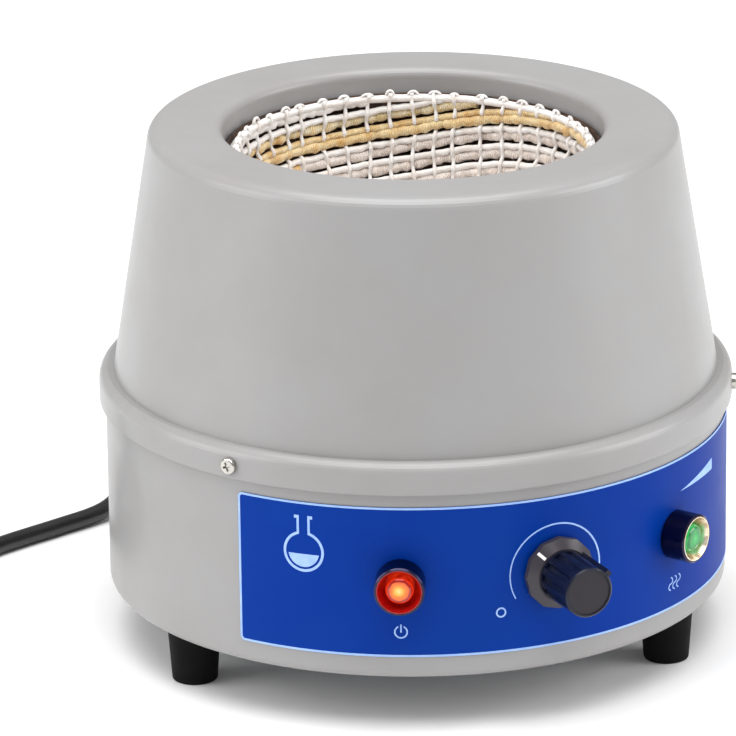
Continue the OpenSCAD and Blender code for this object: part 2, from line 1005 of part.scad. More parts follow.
module terminal_block() {
    color([0.12, 0.45, 0.25])
    difference() {
        translate([1, pole_y - 9, board_top_z])
            cube([28, 9, 11]);
        for (x = pole_x) {
            translate([x, pole_y - 6, pole_z])
                rotate([-90, 0, 0])
                    cylinder(r = 1.4, h = 8);
            translate([x, pole_y - 4.5, board_top_z + 8])
                cylinder(r = 1.6, h = 4);
        }
    }
}

// Line, neutral and earth from the lead's end to the terminal block.
module mains_leads() {
    from = cord_route[0];
    color([0.35, 0.20, 0.12])
    for (k = [0:2])
        tube(smooth([
            [from[0] - 2.6 + 2.6 * k, from[1], from[2]],
            [from[0] - 2.6 + 2.6 * k, from[1] - 12, from[2] - 1],
            [pole_x[k] * 0.6, 58, 40],
            [pole_x[k] - 1, 28, pole_z + 0.5],
            [pole_x[k], pole_y + 8, pole_z],
            [pole_x[k], pole_y - 5, pole_z]], 4), 1.1);
}

// Two leads from the heater down through the sleeve to the terminal block.
module element_leads() {
    low = bowl_z - shield_r;
    color([0.88, 0.86, 0.80])
    for (k = [0, 1])
        tube(smooth([
            [-1.5 + 3 * k, 0, low + 14],
            [-1.5 + 3 * k, 0, low],
            [-1.5 + 3 * k, 1, low - 8],
            [4 + 5 * k, 12, 66],
            [13 + 5.5 * k, 22, 48],
            [pole_x[3 + k], 20, pole_z + 2],
            [pole_x[3 + k], pole_y + 6, pole_z],
            [pole_x[3 + k], pole_y - 5, pole_z]], 4), 1);
}

// Leads of the two lamps and of the control, down to the board.
module control_leads() {
    color([0.65, 0.10, 0.10])
    union() {
        for (side = [-1, 1])
            for (k = [-1, 1])
                tube(smooth([
                    around(base_r - 11, side * lamp_angle + k * 0.8, panel_z),
                    around(base_r - 18, side * lamp_angle + k * 0.8, panel_z - 1),
                    around(base_r - 34, side * (lamp_angle + 1) + k * 1, 50),
                    [side * 34 - 5 + k * 2, -58, 40],
                    [side * 31 - 4 + k * 2, -53.4, 35],
                    [side * 31 - 4 + k * 2, -53, board_top_z]], 4), 0.8);
        for (k = [-1, 0, 1])
            tube(smooth([
                [k * 5, -pot_back - 3.4, panel_z - pot_r - 5],
                [k * 5, -pot_back + 1, panel_z - pot_r - 9],
                [k * 4, -76, 38],
                [k * 3 - 6, -56, 37],
                [k * 3 - 8, -50, 35],
                [k * 3 - 8, -49.6, board_top_z]], 4), 0.8);
    }
}

// ---------- mains lead ----------

// Moulded sleeve that holds the lead in the wall: a flange, a neck and a tapered tail.
module strain_relief() {
    color([0.05, 0.05, 0.055])
    radial(180, cord_exit_z)
        difference() {
            turned([
                [0, base_r - 6], [8, base_r - 6], [8, base_r - base_wall - 0.3],
                [6, base_r - base_wall - 0.3], [6, base_r + 0.1], [8, base_r + 0.1],
                [8, base_r + 2.6], [6.2, base_r + 2.8], [4.7, base_r + relief_l], [0, base_r + relief_l]]);
            translate([0, 0, base_r - 10])
                cylinder(r = cord_r + 0.3, h = relief_l + 20);
        }
}

module mains_cord() {
    color([0.06, 0.06, 0.065])
    union() {
        tube(smooth(cord_route, 3), cord_r, cord_sides, [0, 0, 1]);
        tube(smooth(tail_route, 2), cord_r, cord_sides, [0, 0, 1]);
    }
}

// Section of the wound turns, with a margin round it.
module coil_section(grow) {
    half = coil_h / 2 + grow;
    translate([coil_r, coil_h / 2]) {
        translate([-coil_half_w + coil_h / 2, -half])
            square([2 * coil_half_w - coil_h, 2 * half]);
        for (s = [-1, 1])
            translate([s * (coil_half_w - coil_h / 2), 0])
                circle(half);
    }
}

module cord_coil() {
    color([0.06, 0.06, 0.065])
    translate(coil_pos)
        rotate_extrude()
            coil_section(0);
}

module coil_tie() {
    color([0.10, 0.10, 0.11])
    translate(coil_pos)
        rotate([0, 0, 100])
            rotate_extrude(angle = 16)
                difference() {
                    coil_section(0.9);
                    coil_section(0);
                }
}

// Straight two pin plug with side earth contacts, on its side, pins away from the coil.
module mains_plug() {
    color([0.07, 0.07, 0.075])
    translate(plug_pos)
        rotate([-90, 0, 0])
            difference() {
                turned([
                    [0, 0], [5, 0], [6.5, 20], [9, 22], [16, 34], [18.4, 38],
                    [18.4, 54], [0, 54]]);
                translate([0, 0, -1])
                    cylinder(r = cord_r, h = 16);
                for (s = [-1, 1])
                    translate([-3.2, s * 18.4 - 1.6, 40])
                        cube([6.4, 3.2, 16]);
                for (s = [-1, 1])
                    translate([s * 9.5, 0, 46])
                        cylinder(r = 2, h = 10);
                translate([0, 11.6, 40])
                    cylinder(r = 2.6, h = 16);
            }
}

module plug_pins() {
    color([0.80, 0.78, 0.74])
    translate(plug_pos)
        rotate([-90, 0, 0])
            for (s = [-1, 1])
                translate([s * 9.5, 0, 46])
                    union() {
                        cylinder(r = 2, h = 9);
                        translate([0, 0, 8])
                            cylinder(r = 2.4, h = 18);
                        translate([0, 0, 26])
                            cylinder(r1 = 2.4, r2 = 1.6, h = 1.2);
                    }
}

// ---------- which pieces to draw ----------
base_housing();
bottom_plate();
foot_left();
foot_right();
foot_rear();
foot_screws();
foot_nuts();
plate_screws();
control_label();
label_print();
case_screws();
case_nuts();
top_housing();
heating_nest();
heating_element();
inner_bowl();
insulation_wool();
heat_shield();
bracket_front();
bracket_right();
bracket_left();
bracket_screws();
bowl_screws();
lead_bushing();
control_knob();
knob_cap();
knob_pointer();
knob_grub_screw();
pot_shaft();
pot_wiper();
pot_body();
pot_nut();
power_lamp_bezel();
power_lamp_reflector();
power_lamp_lens();
power_lamp_bulb();
heat_lamp_bezel();
heat_lamp_reflector();
heat_lamp_lens();
heat_lamp_bulb();
lamp_nuts();
control_board();
board_standoffs();
triac();
heatsink();
capacitor();
choke();
fuse();
fuse_clips();
terminal_block();
mains_leads();
element_leads();
control_leads();
strain_relief();
mains_cord();
cord_coil();
coil_tie();
mains_plug();
plug_pins();
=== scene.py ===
"""Looks of a laboratory heating mantle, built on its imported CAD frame.

Lengths are in metres in the part's own frame: the control panel faces -Y, +Z is up, and
z = 0 is the table under the feet.
"""

import logging
import math
from dataclasses import dataclass, field
from enum import Enum

import bpy
from mathutils import Matrix, Vector, noise


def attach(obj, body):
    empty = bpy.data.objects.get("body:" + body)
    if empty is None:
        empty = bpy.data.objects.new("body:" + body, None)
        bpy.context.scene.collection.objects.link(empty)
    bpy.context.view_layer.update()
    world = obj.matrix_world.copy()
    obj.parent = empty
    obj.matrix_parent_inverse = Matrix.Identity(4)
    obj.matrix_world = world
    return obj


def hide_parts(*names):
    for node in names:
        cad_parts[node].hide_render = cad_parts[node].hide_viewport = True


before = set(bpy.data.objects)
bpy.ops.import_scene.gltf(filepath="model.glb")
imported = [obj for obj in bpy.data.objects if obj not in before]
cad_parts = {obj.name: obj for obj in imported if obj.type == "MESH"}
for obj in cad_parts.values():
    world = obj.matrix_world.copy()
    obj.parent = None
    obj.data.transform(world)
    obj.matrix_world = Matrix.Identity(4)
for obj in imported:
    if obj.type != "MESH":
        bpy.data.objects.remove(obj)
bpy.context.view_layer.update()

LOG = logging.getLogger("heating_mantle")
MM = 0.001


# ---------- materials ----------


def linear(colour: str, alpha: float = 1.0) -> tuple[float, float, float, float]:
    """Turn an sRGB hex colour into the linear one that shaders take.

    Args:
        colour: Six hex digits, as in "8a8f94".
        alpha: Opacity that goes with it.

    Returns:
        Linear red, green, blue and alpha.
    """
    parts = [int(colour[i : i + 2], 16) / 255 for i in (0, 2, 4)]
    red, green, blue = (c / 12.92 if c <= 0.04045 else ((c + 0.055) / 1.055) ** 2.4 for c in parts)
    return red, green, blue, alpha


def add_node(
    tree: bpy.types.NodeTree, kind: str, inputs: dict | None = None, **settings: object
) -> bpy.types.Node:
    """Add a shader node, with its settings, values and links.

    Args:
        tree: Node tree that takes the node.
        kind: Blender's name for the node's type.
        inputs: Value or output socket for each input, by name or number.
        settings: Properties of the node itself.

    Returns:
        The new node.
    """
    node = tree.nodes.new(kind)
    for name, value in settings.items():
        setattr(node, name, value)
    for name, value in (inputs or {}).items():
        if isinstance(value, bpy.types.NodeSocket):
            tree.links.new(value, node.inputs[name])
        else:
            node.inputs[name].default_value = value
    return node


class Surface(Enum):
    """How a surface was made, which decides the relief it is given."""

    COATED = "orange peel of a baked powder coat"
    MOULDED = "fine spark-eroded grain of moulded plastic"
    POLISHED = "smooth, with faint handling marks"
    BRUSHED = "fine lines from a belt or a lathe"
    FIBROUS = "loose fibres"
    PLY = "plies of a twisted yarn, along the piece's own UV map"


@dataclass(frozen=True)
class Finish:
    """One finish: what it is made of, how it was made, and its typical values.

    Attributes:
        name: Common name of the material and the way it was made.
        colour: Main colour, sRGB hex.
        worn: Colour it drifts to in patches, sRGB hex.
        surface: How the surface was made.
        roughness: Middle roughness.
        grain_mm: Size of one bump or line of the relief.
        relief_mm: Height of the relief.
        patch_mm: Size of the patches of colour and wear.
        metallic: 1 for bare metal.
        ior: Index of refraction.
        coat: Strength of a clear layer on top.
        clear: Share of light that passes through.
        glow: Strength of the light it gives.
        glow_colour: Colour of that light, sRGB hex.
        sheen: Strength of the soft edge light of fibres.
    """

    name: str
    colour: str
    worn: str
    surface: Surface = Surface.MOULDED
    roughness: float = 0.5
    grain_mm: float = 0.5
    relief_mm: float = 0.02
    patch_mm: float = 25.0
    metallic: float = 0.0
    ior: float = 1.5
    coat: float = 0.0
    clear: float = 0.0
    glow: float = 0.0
    glow_colour: str = "ffffff"
    sheen: float = 0.0

    def material(self) -> bpy.types.Material:
        """Give the finish's material, made at its first use.

        Returns:
            The material.
        """
        made = bpy.data.materials.get(self.name)
        if made:
            return made
        made = bpy.data.materials.new(self.name)
        made.use_nodes = True
        tree = made.node_tree
        shader = tree.nodes["Principled BSDF"]
        shader.inputs["Metallic"].default_value = self.metallic
        shader.inputs["Coat Weight"].default_value = self.coat
        shader.inputs["Coat Roughness"].default_value = 0.08
        shader.inputs["Transmission Weight"].default_value = self.clear
        shader.inputs["Sheen Weight"].default_value = self.sheen
        shader.inputs["Emission Color"].default_value = linear(self.glow_colour)
        shader.inputs["Emission Strength"].default_value = self.glow
        if not self.metallic:
            shader.inputs["IOR"].default_value = self.ior
        places = add_node(tree, "ShaderNodeTexCoord")
        body = places.outputs["Object"]
        patch = add_node(
            tree,
            "ShaderNodeTexNoise",
            {"Vector": body, "Scale": 1000 / self.patch_mm, "Detail": 4.0, "Roughness": 0.6},
        )
        drift = add_node(
            tree, "ShaderNodeMapRange", {0: patch.outputs[0], 1: 0.38, 2: 0.68}, clamp=True
        )
        tint = add_node(
            tree,
            "ShaderNodeMix",
            {0: drift.outputs[0], 6: linear(self.colour), 7: linear(self.worn)},
            data_type="RGBA",
        )
        self.paint(tree, body, tint.outputs[2])
        gloss = add_node(
            tree,
            "ShaderNodeMapRange",
            {
                0: patch.outputs[0],
                1: 0.3,
                2: 0.7,
                3: self.roughness * 0.88,
                4: min(1.0, self.roughness * 1.14),
            },
        )
        tree.links.new(gloss.outputs[0], shader.inputs["Roughness"])
        height = self.relief(tree, places)
        bump = add_node(
            tree,
            "ShaderNodeBump",
            {"Strength": 1.0, "Distance": self.relief_mm * MM, "Height": height},
        )
        tree.links.new(bump.outputs[0], shader.inputs["Normal"])
        return made

    def paint(
        self, tree: bpy.types.NodeTree, body: bpy.types.NodeSocket, tint: bpy.types.NodeSocket
    ) -> None:
        """Link the finish's colour to its shader.

        Args:
            tree: The material's nodes.
            body: Place on the piece, in metres; not used here.
            tint: Colour with its patches.
        """
        tree.links.new(tint, tree.nodes["Principled BSDF"].inputs["Base Color"])

    def relief(self, tree: bpy.types.NodeTree, places: bpy.types.Node) -> bpy.types.NodeSocket:
        """Add the nodes of the surface's relief.

        Args:
            tree: The material's nodes.
            places: Its texture coordinates.

        Returns:
            Height of the relief, from 0 to 1.
        """
        per_metre = 1000 / self.grain_mm
        if self.surface is Surface.PLY:
            plies = add_node(
                tree,
                "ShaderNodeMapping",
                {"Vector": places.outputs["UV"], "Scale": (per_metre / 3, 1.0, 1.0)},
            )
            twist = add_node(
                tree,
                "ShaderNodeTexWave",
                {"Vector": plies.outputs[0], "Scale": 3.0, "Distortion": 1.2, "Detail": 2.0},
                bands_direction="DIAGONAL",
            )
            return twist.outputs["Fac"]
        stretch = (1.0, 1.0, 14.0) if self.surface is Surface.BRUSHED else (1.0, 1.0, 1.0)
        placed = add_node(
            tree, "ShaderNodeMapping", {"Vector": places.outputs["Object"], "Scale": stretch}
        )
        grain = add_node(
            tree,
            "ShaderNodeTexNoise",
            {
                "Vector": placed.outputs[0],
                "Scale": per_metre,
                "Detail": 1.0 if self.surface is Surface.COATED else 5.0,
                "Distortion": 2.5 if self.surface is Surface.FIBROUS else 0.0,
            },
        )
        return grain.outputs[0]


@dataclass(frozen=True)
class PaintedReflectionKnob(Finish):
    """Black moulding painted with its reflections, parted at a distance in front: a painted highlight on
    the skirt, a painted reflection on the grip.

    Attributes:
        skirt: Colour behind the parting, a painted highlight for the light on the upturned skirt, sRGB
            hex.
        parting_mm: Distance of the parting from the body's axis, along -Y.
    """

    # Painted highlight: the black skirt is painted dark grey for the light it catches.
    skirt: str = "37333a"
    parting_mm: float = 126.5

    def paint(
        self, tree: bpy.types.NodeTree, body: bpy.types.NodeSocket, tint: bpy.types.NodeSocket
    ) -> None:
        """Colour the skirt and the grip each its own way.

        Args:
            tree: The material's nodes.
            body: Place on the piece, in metres.
            tint: Colour of the grip, a painted reflection of the blue panel, with its patches.
        """
        # Behind the parting the skirt takes its painted highlight.
        place = add_node(tree, "ShaderNodeSeparateXYZ", {0: body})
        behind = add_node(
            tree,
            "ShaderNodeMath",
            {0: place.outputs[1], 1: -self.parting_mm * MM},
            operation="GREATER_THAN",
        )
        both = add_node(
            tree,
            "ShaderNodeMix",
            {0: behind.outputs[0], 6: tint, 7: linear(self.skirt)},
            data_type="RGBA",
        )
        super().paint(tree, body, both.outputs[2])


@dataclass(frozen=True)
class LitLens(Finish):
    """Coloured lens with its lamp on: the light is strongest on the lamp's own axis.

    Attributes:
        turn: Angle of the lamp's axis from the middle of the panel, in degrees.
        height_mm: Height of that axis.
        reach_mm: Distance from the axis where the last colour has been reached.
        jitter_mm: How far the moulded ribs scatter the rings.
        rings: Distance from the axis in mm, and the colour of the light there.
    """

    turn: float = 0.0
    height_mm: float = 60.5
    reach_mm: float = 6.0
    jitter_mm: float = 1.2
    rings: tuple[tuple[float, str], ...] = ()

    def paint(
        self, tree: bpy.types.NodeTree, body: bpy.types.NodeSocket, tint: bpy.types.NodeSocket
    ) -> None:
        """Colour the lens, and its light by the distance from the lamp's axis.

        Args:
            tree: The material's nodes.
            body: Place on the piece, in metres.
            tint: Colour of the lens with its patches.
        """
        super().paint(tree, body, tint)
        angle = math.radians(self.turn)
        offset = add_node(
            tree,
            "ShaderNodeVectorMath",
            {0: body, 1: (0.0, 0.0, self.height_mm * MM)},
            operation="SUBTRACT",
        )
        across = add_node(
            tree,
            "ShaderNodeVectorMath",
            {0: offset.outputs[0], 1: (math.sin(angle), -math.cos(angle), 0.0)},
            operation="CROSS_PRODUCT",
        )
        away = add_node(
            tree, "ShaderNodeVectorMath", {0: across.outputs[0]}, operation="LENGTH"
        )
        moulded = add_node(tree, "ShaderNodeTexNoise", {"Vector": body, "Scale": 420.0})
        jitter = add_node(
            tree,
            "ShaderNodeMath",
            {0: moulded.outputs[0], 1: self.jitter_mm * MM, 2: away.outputs["Value"]},
            operation="MULTIPLY_ADD",
        )
        nearest = self.jitter_mm / 2
        reach = add_node(
            tree,
            "ShaderNodeMapRange",
            {0: jitter.outputs[0], 1: nearest * MM, 2: (nearest + self.reach_mm) * MM},
        )
        light = add_node(tree, "ShaderNodeValToRGB", {0: reach.outputs[0]})
        ramp = light.color_ramp.elements
        while len(ramp) < len(self.rings):
            ramp.new(0.5)
        for element, (away_mm, colour) in zip(ramp, self.rings):
            element.position, element.color = away_mm / self.reach_mm, linear(colour)
        shader = tree.nodes["Principled BSDF"]
        tree.links.new(light.outputs[0], shader.inputs["Emission Color"])


# Baked polyester powder on steel sheet: warm light grey, satin, with soft orange peel.
GREY_COAT = Finish(
    "grey_powder_coat", "959494", "918f8e", Surface.COATED, 0.36, 1.6, 0.012, 60, coat=0.1
)
# Screen printed polyester film over its glue: deep blue, faintly wavy on the drum.
BLUE_FILM = Finish(
    "blue_polyester_film", "00348e", "002f8c", Surface.COATED, 0.4, 6.0, 0.01, 70, ior=1.16
)
# Screen ink laid on the film: pale blue, a little matt.
PALE_INK = Finish("pale_screen_ink", "9dbdf0", "8db2ee", Surface.MOULDED, 0.55, 0.3, 0.01, 4)
# Black knob plastic with painted reflections: a blue black grip, the blue panel's painted reflection, on
# a dark grey skirt, a painted highlight, with a soft shine.
KNOB_PAINTED_REFLECTIONS = PaintedReflectionKnob(
    "knob_plastic_painted_reflections", "060b1c", "0a1026", Surface.MOULDED, 0.3, 0.35, 0.004, 6, ior=1.4
)
# Disc pressed into the front of the knob: charcoal, duller than the grip.
CAP_PLASTIC = Finish(
    "charcoal_cap_plastic", "232028", "28252c", Surface.MOULDED, 0.42, 0.3, 0.006, 5, ior=1.35
)
# White pad-printed line.
WHITE_LINE = Finish("white_pad_print", "f2f2f2", "e2e2e4", Surface.MOULDED, 0.5, 0.3, 0.008, 3)
# Black rubber of the feet: matt, dusty in patches.
FOOT_RUBBER = Finish(
    "black_foot_rubber", "040405", "0a0a0b", Surface.MOULDED, 0.72, 0.6, 0.03, 9, ior=1.25
)
# Plasticised vinyl of the lead: black with a low sheen and faint ripples from the core.
LEAD_VINYL = Finish(
    "black_lead_vinyl", "0a0a0b", "161617", Surface.COATED, 0.34, 3.0, 0.05, 14, coat=0.2
)
PLUG_VINYL = Finish("black_plug_vinyl", "0c0c0e", "18181a", Surface.MOULDED, 0.45, 0.5, 0.02, 10)
STRAP = Finish("black_hook_strap", "111113", "1d1d20", Surface.FIBROUS, 0.9, 0.5, 0.25, 6, sheen=0.4)
# Nickel plate on steel screws and nuts: bright, a little worn on the edges.
NICKEL = Finish(
    "nickel_plated_steel", "c9c6c0", "aeaba5", Surface.POLISHED, 0.2, 0.8, 0.006, 2, metallic=1.0
)
PIN_NICKEL = Finish(
    "nickel_plated_brass", "d2cdc0", "c2bba9", Surface.POLISHED, 0.2, 0.8, 0.005, 4, metallic=1.0
)
STEEL_SHEET = Finish(
    "galvanised_sheet", "a9acb0", "8f9398", Surface.POLISHED, 0.38, 5.0, 0.02, 12, metallic=1.0
)
ALUMINIUM = Finish(
    "spun_aluminium", "c6c8ca", "aeb1b4", Surface.BRUSHED, 0.3, 1.2, 0.012, 20, metallic=1.0
)
# Black chrome of the lamp barrels: dark mirror, its violet cast a painted reflection of the blue panel.
BLACK_CHROME = Finish(
    "black_chrome_painted_blue_reflection", "3a3648", "2c2a3e", Surface.POLISHED, 0.22, 1.0, 0.004, 5, metallic=1.0
)
# Red lacquer in the cone of the power lamp, and a warm silvered cone in the heat lamp.
RED_LACQUER = Finish("red_lamp_lacquer", "a30404", "7c0202", Surface.POLISHED, 0.3, 1.0, 0.01, 5)
WARM_SILVER = Finish(
    "warm_silvered_plastic", "fff8ea", "e0b98a", Surface.POLISHED, 0.2, 1.0, 0.01, 3.5, metallic=0.8
)
# Ribbed polycarbonate lenses with their lamps on, hot at the middle.
RED_LENS = LitLens(
    "lit_red_lens",
    "6a0400",
    "860800",
    Surface.MOULDED,
    0.14,
    0.9,
    0.05,
    3,
    coat=0.4,
    glow=0.9,
    turn=-28.5,
    rings=(
        (0.0, "fff0a0"),
        (1.2, "ffd048"),
        (2.4, "ff8c10"),
        (3.5, "ff6a08"),
        (3.8, "7a0600"),
        (4.4, "8c0a00"),
        (4.8, "f03a18"),
        (5.6, "900800"),
    ),
)
GREEN_LENS = LitLens(
    "lit_green_lens",
    "04602a",
    "0a7a38",
    Surface.MOULDED,
    0.14,
    0.9,
    0.05,
    3,
    coat=0.4,
    glow=0.6,
    turn=28.5,
    rings=(
        (0.0, "5ae07c"),
        (1.1, "2cc45c"),
        (2.2, "129a40"),
        (3.6, "08702e"),
        (4.2, "065a26"),
        (4.9, "2cc860"),
        (5.6, "08682c"),
    ),
)
# Small neon lamps behind the lenses.
NEON = Finish(
    "neon_glass", "ffb46a", "ff9c4a", Surface.POLISHED, 0.12, 1.0, 0.004, 4, clear=0.5, glow=0.6,
    glow_colour="ff9a3c",
)
# Nickel chromium wire, blued by heat.
HEAT_WIRE = Finish(
    "blued_heating_wire", "6c6a70", "4c4a55", Surface.BRUSHED, 0.4, 0.6, 0.02, 4, metallic=1.0
)
# Copper clad glass epoxy board under green solder resist.
BOARD = Finish("green_circuit_board", "1c5a34", "174c2c", Surface.COATED, 0.38, 1.5, 0.02, 8, coat=0.3)
NYLON = Finish("natural_nylon", "e6e1d2", "dad4c2", Surface.MOULDED, 0.5, 0.6, 0.02, 6)
FERRITE = Finish("enamelled_choke", "9a5a2c", "7d4420", Surface.BRUSHED, 0.3, 0.8, 0.12, 4, coat=0.5)
FUSE_GLASS = Finish(
    "fuse_glass", "dfe6e4", "cfd8d6", Surface.POLISHED, 0.06, 1.0, 0.003, 4, clear=0.85
)
MAINS_WIRE = Finish("brown_lead_insulation", "5c3820", "503018", Surface.MOULDED, 0.4, 0.6, 0.02, 6)
GLASS_SLEEVE = Finish(
    "braided_glass_sleeving", "e9e4d8", "d3cab6", Surface.FIBROUS, 0.75, 0.5, 0.12, 5, sheen=0.3
)
CONTROL_WIRE = Finish("grey_lead_insulation", "8c9096", "7c8086", Surface.MOULDED, 0.42, 0.5, 0.02, 6)
# Pale laminate of the table top.
PALE_FLOOR = Finish("pale_floor", "f4f4f4", "f2f2f2", Surface.COATED, 0.7, 40, 0.0, 900)
# Needled mineral wool: yellow grey, matt, tangled.
WOOL = Finish("needled_mineral_wool", "c9bd98", "a99a72", Surface.FIBROUS, 0.95, 1.6, 1.2, 14, sheen=0.5)


# ---------- shapes ----------


def clear_selection() -> None:
    """Leave object mode and deselect everything."""
    if bpy.context.object and bpy.context.object.mode != "OBJECT":
        bpy.ops.object.mode_set(mode="OBJECT")
    bpy.ops.object.select_all(action="DESELECT")


def settle(piece: bpy.types.Object, name: str, finishes: list[Finish]) -> bpy.types.Object:
    """Name a modelled piece, put its place in its mesh, and dress it.

    Args:
        piece: The new object.
        name: Name it is known by.
        finishes: Its finishes, in the order of its material slots.

    Returns:
        The same object.
    """
    clear_selection()
    piece.select_set(True)
    bpy.context.view_layer.objects.active = piece
    bpy.ops.object.transform_apply(location=True, rotation=True, scale=True)
    piece.name = name
    piece.data.name = name
    piece.data.materials.clear()
    for finish in finishes:
        piece.data.materials.append(finish.material())
    return piece


@dataclass
class Strand:
    """A round yarn, rope or lead along a line of points.

    Attributes:
        points: The centre line.
        radius: Radius at every point.
        sides: Corners of its section.
        slot: Number of its material slot at every point.
        closed: True where its end meets its start.
    """

    points: list[Vector]
    radius: list[float]
    sides: int = 8
    slot: list[int] = field(default_factory=list)
    closed: bool = False


def sweep(name: str, strands: list[Strand], finishes: list[Finish]) -> bpy.types.Object:
    """Make one mesh of round strands, with a UV map that runs along each in metres.

    Args:
        name: Name of the new piece.
        strands: The strands.
        finishes: Finishes by slot number.

    Returns:
        The new object.
    """
    verts: list[Vector] = []
    faces: list[tuple[int, ...]] = []
    slots: list[int] = []
    maps: list[tuple[float, float]] = []
    for strand in strands:
        points, count, sides = strand.points, len(strand.points), strand.sides
        ahead = [
            (points[(i + 1) % count] if strand.closed or i + 1 < count else points[i])
            - (points[i - 1] if strand.closed or i else points[i])
            for i in range(count)
        ]
        side = ahead[0].orthogonal().normalized()
        first = len(verts)
        for i in range(count):
            along = ahead[i].normalized()
            side = (side - along * side.dot(along)).normalized()
            across = along.cross(side)
            for k in range(sides):
                turn = math.tau * k / sides
                spoke = side * math.cos(turn) + across * math.sin(turn)
                verts.append(points[i] + spoke * strand.radius[i])
        offset, length = 0, 0.0
        if strand.closed:
            last = [verts[first + k] - points[0] for k in range(sides)]
            along = ahead[0].normalized()
            side = (side - along * side.dot(along)).normalized()
            offset = min(range(sides), key=lambda k: (last[k].normalized() - side).length)
        for i in range(count if strand.closed else count - 1):
            j = (i + 1) % count
            step = (points[j] - points[i]).length
            skew = offset if j == 0 else 0
            for k in range(sides):
                n = (k + 1) % sides
                a, b = first + i * sides + k, first + i * sides + n
                c = first + j * sides + (n + skew) % sides
                d = first + j * sides + (k + skew) % sides
                faces.append((a, b, c, d))
                low, high = k / sides, (k + 1) / sides
                maps += [(length, low), (length, high), (length + step, high), (length + step, low)]
                slots.append(strand.slot[i] if strand.slot else 0)
            length += step
        if not strand.closed:
            faces.append(tuple(first + k for k in reversed(range(sides))))
            faces.append(tuple(first + (count - 1) * sides + k for k in range(sides)))
            maps += [(0.0, 0.0)] * sides + [(length, 0.0)] * sides
            slots += [strand.slot[0] if strand.slot else 0] * 2
    mesh = bpy.data.meshes.new(name)
    mesh.from_pydata(verts, [], faces)
    mesh.polygons.foreach_set("material_index", slots)
    mesh.polygons.foreach_set("use_smooth", [True] * len(faces))
    layer = mesh.uv_layers.new(name="along")
    layer.data.foreach_set("uv", [value for pair in maps for value in pair])
    for finish in finishes:
        mesh.materials.append(finish.material())
    made = bpy.data.objects.new(name, mesh)
    bpy.context.scene.collection.objects.link(made)
    return made


def smooth_line(points: list[Vector], steps: int) -> list[Vector]:
    """Points of a smooth curve through the given ones.

    Args:
        points: Points of the route.
        steps: Steps between two of them.

    Returns:
        The finer line, with both ends.
    """
    line = []
    for i in range(len(points) - 1):
        a, b = points[max(i - 1, 0)], points[i]
        c, d = points[i + 1], points[min(i + 2, len(points) - 1)]
        for k in range(steps):
            t = k / steps
            line.append(
                0.5
                * (
                    2 * b
                    + (c - a) * t
                    + (2 * a - 5 * b + 4 * c - d) * t * t
                    + (3 * b - a - 3 * c + d) * t**3
                )
            )
    return [*line, points[-1].copy()]


# ---------- studio ----------


@dataclass
class Studio:
    """Camera, floor and soft lights of a white product table.

    Attributes:
        lens_mm: Focal length on a 36 mm wide sensor.
        distance: From the aim to the camera.
        azimuth: Degrees round from the front, negative to the left.
        elevation: Degrees above level.
        aim: Point that the camera and the lights are set by.
        turn: Pitch, yaw and roll that put the object off the middle of the view, in radians.
        lights: Place, side length and watts of each softbox.
        room: Brightness of the white room.
        floor_size: Side length of the table top.
    """

    lens_mm: float = 293.9
    distance: float = 2.3248
    azimuth: float = -25.5
    elevation: float = 18.776
    aim: tuple[float, float, float] = (0.0, 0.0, 0.106)
    turn: tuple[float, float, float] = (-0.000929, 0.007903, -0.009444)
    lights: tuple[tuple[tuple[float, float, float], float, float], ...] = (
        ((-2.2, 0.5, 1.0), 1.6, 27),
        ((2.0, -1.2, 1.0), 1.4, 29),
        ((-0.25, -0.35, 2.4), 2.4, 78),
    )
    room: float = 0.44
    floor_size: float = 14.0

    def camera(self) -> None:
        """Place the camera in front and to the left of the panel, a little above the top."""
        around, above = math.radians(self.azimuth), math.radians(self.elevation)
        back = Vector(
            (
                math.sin(around) * math.cos(above),
                -math.cos(around) * math.cos(above),
                math.sin(above),
            )
        )
        data = bpy.data.cameras.new("camera")
        data.sensor_width = 36
        data.lens = self.lens_mm
        data.clip_start, data.clip_end = 0.05, 60
        made = bpy.data.objects.new("camera", data)
        bpy.context.scene.collection.objects.link(made)
        pitch, yaw, roll = self.turn
        facing = back.to_track_quat("Z", "Y").to_matrix()
        facing = facing @ Matrix.Rotation(yaw, 3, "Y") @ Matrix.Rotation(pitch, 3, "X")
        facing = facing @ Matrix.Rotation(roll, 3, "Z")
        made.matrix_world = Matrix.Translation(Vector(self.aim) + back * self.distance)
        made.matrix_world = made.matrix_world @ facing.to_4x4()
        bpy.context.scene.camera = made

    def floor(self) -> None:
        """Lay the pale floor."""
        clear_selection()
        bpy.ops.mesh.primitive_plane_add(size=self.floor_size)
        floor = settle(bpy.context.object, "floor", [PALE_FLOOR])

    def softbox(self, at: tuple[float, float, float], size: float, power: float) -> None:
        """Hang a square soft light that faces the middle of the object.

        Args:
            at: Its place.
            size: Length of its side.
            power: Watts.
        """
        data = bpy.data.lights.new("softbox", "AREA")
        data.shape, data.size, data.energy = "SQUARE", size, power
        made = bpy.data.objects.new("softbox", data)
        bpy.context.scene.collection.objects.link(made)
        towards = Vector(self.aim) - Vector(at)
        made.location = at
        made.rotation_euler = towards.to_track_quat("-Z", "Y").to_euler()

    def build(self) -> None:
        """Set up the camera, the floor, the lights and the white room."""
        self.camera()
        self.floor()
        for at, size, power in self.lights:
            self.softbox(at, size, power)
        world = bpy.data.worlds.new("room")
        world.use_nodes = True
        walls = world.node_tree.nodes["Background"]
        walls.inputs["Color"].default_value = linear("ffffff")
        walls.inputs["Strength"].default_value = self.room
        bpy.context.scene.world = world
        bpy.context.scene.view_settings.view_transform = "Standard"
        LOG.info("studio: camera, floor, %d softboxes", len(self.lights))


# ---------- mains lead ----------


